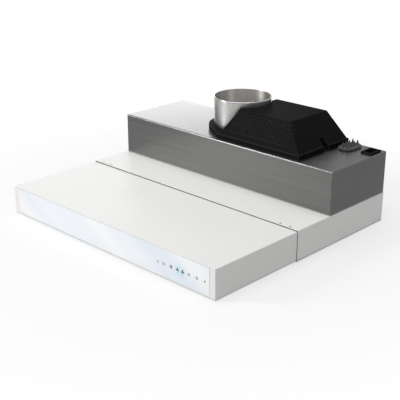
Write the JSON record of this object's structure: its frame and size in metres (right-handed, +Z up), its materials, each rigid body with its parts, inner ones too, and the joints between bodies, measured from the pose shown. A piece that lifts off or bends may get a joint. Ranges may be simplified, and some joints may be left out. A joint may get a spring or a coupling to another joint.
{
  "type": "slide-out extractor hood",
  "caption": "Built-in kitchen extractor hood with a pull-out glass-fronted drawer, steel fan box, duct collar, moulded motor cover and a hinged grease filter.",
  "frame": {"origin": "middle of the footprint at the underside, with the drawer pulled out", "axes": "+X to the right seen by the cook, +Y towards the wall, +Z up"},
  "size_m": [0.6, 0.517, 0.23],
  "materials": {
    "white_enamel": "satin powder coat",
    "sheet_steel": "bright rolled sheet",
    "galvanised_steel": "zinc plated",
    "machined_steel": "ground",
    "electrical_steel": "laminated",
    "black_moulding": "fine spark texture",
    "dark_moulding": "satin",
    "grey_moulding": "satin",
    "white_moulding": "satin",
    "grey_rubber": "matt",
    "black_rubber": "matt",
    "front_glass": "white-backed glass, polished",
    "board_laminate": "solder mask",
    "capacitor_can": "drawn",
    "cast_aluminium": "die cast",
    "filter_aluminium": "anodised",
    "mesh_aluminium": "expanded mesh",
    "frosted_lens": "frosted",
    "contact_brass": "bright",
    "magnet": "nickel plated"
  },
  "bodies": {
    "hood_body": {"body_shell": "white_enamel", "fan_box": "sheet_steel", "duct_collar": "galvanised_steel", "flap_seat": "dark_moulding", "flap_pin": "machined_steel", "motor_cover": "black_moulding", "cover_screws": "machined_steel", "scroll_housing": "dark_moulding", "scroll_lid": "dark_moulding", "fan_guard": "dark_moulding", "motor_base": "cast_aluminium", "motor_cap": "cast_aluminium", "motor_bearings": "machined_steel", "stator": "electrical_steel", "motor_dampers": "black_rubber", "motor_screws": "machined_steel", "control_box": "white_moulding", "control_box_lid": "white_moulding", "control_board": "board_laminate", "run_capacitor": "capacitor_can", "lamp_driver": "white_moulding", "cable_grommet": "grey_rubber", "connector_socket": "black_moulding", "socket_pins": "contact_brass", "drawer_switch": "dark_moulding", "rail_bracket_left": "galvanised_steel", "rail_bracket_right": "galvanised_steel", "outer_rail_left": "galvanised_steel", "outer_rail_right": "galvanised_steel", "drawer_buffers": "black_rubber", "body_rivets": "machined_steel", "filter_hinges": "galvanised_steel", "filter_catches": "galvanised_steel"},
    "drawer": {"drawer_shell": "white_enamel", "front_glass": "front_glass", "glass_carrier": "white_moulding", "touch_board": "board_laminate", "drawer_panel": "white_enamel", "drawer_brace": "galvanised_steel", "drawer_magnet": "magnet", "lamp_housing_left": "white_moulding", "lamp_housing_right": "white_moulding", "lamp_lens_left": "frosted_lens", "lamp_lens_right": "frosted_lens", "panel_screws": "machined_steel", "inner_rail_left": "galvanised_steel", "inner_rail_right": "galvanised_steel"},
    "middle_rails": {"middle_rail_left": "galvanised_steel", "middle_rail_right": "galvanised_steel", "rail_glides": "white_moulding"},
    "fan_rotor": {"impeller": "black_moulding", "motor_shaft": "machined_steel", "impeller_nut": "machined_steel", "rotor_core": "electrical_steel"},
    "flap_left": {"flap_left": "grey_moulding"},
    "flap_right": {"flap_right": "grey_moulding"},
    "grease_filter": {"filter_frame": "filter_aluminium", "filter_mesh": "mesh_aluminium"},
    "filter_handle": {"filter_handle": "machined_steel"}
  },
  "joints": [
    {"name": "drawer_slide", "type": "slide", "parent": "hood_body", "child": "drawer", "axis": [0, 1, 0], "range_m": [0, 0.2]},
    {"name": "middle_rail_slide", "type": "slide", "parent": "hood_body", "child": "middle_rails", "axis": [0, 1, 0], "range_m": [0, 0.1]},
    {"name": "fan_spin", "type": "hinge", "parent": "hood_body", "child": "fan_rotor", "pos_m": [0.112, 0.1645, 0.15], "axis": [0, 0, 1], "continuous": true},
    {"name": "flap_left_turn", "type": "hinge", "parent": "hood_body", "child": "flap_left", "pos_m": [-0.03, 0.1795, 0.1655], "axis": [0, 1, 0], "range_deg": [0, 75]},
    {"name": "flap_right_turn", "type": "hinge", "parent": "hood_body", "child": "flap_right", "pos_m": [-0.03, 0.1795, 0.1655], "axis": [0, -1, 0], "range_deg": [0, 75]},
    {"name": "filter_tilt", "type": "hinge", "parent": "hood_body", "child": "grease_filter", "pos_m": [0, 0.2215, 0.0045], "axis": [1, 0, 0], "range_deg": [0, 75]},
    {"name": "handle_fold", "type": "hinge", "parent": "grease_filter", "child": "filter_handle", "pos_m": [0, 0.0265, 0.003], "axis": [1, 0, 0], "range_deg": [0, 100]}
  ],
  "couplings": [
    {"joint": "middle_rail_slide", "follows": "drawer_slide", "ratio": 0.5}
  ]
}
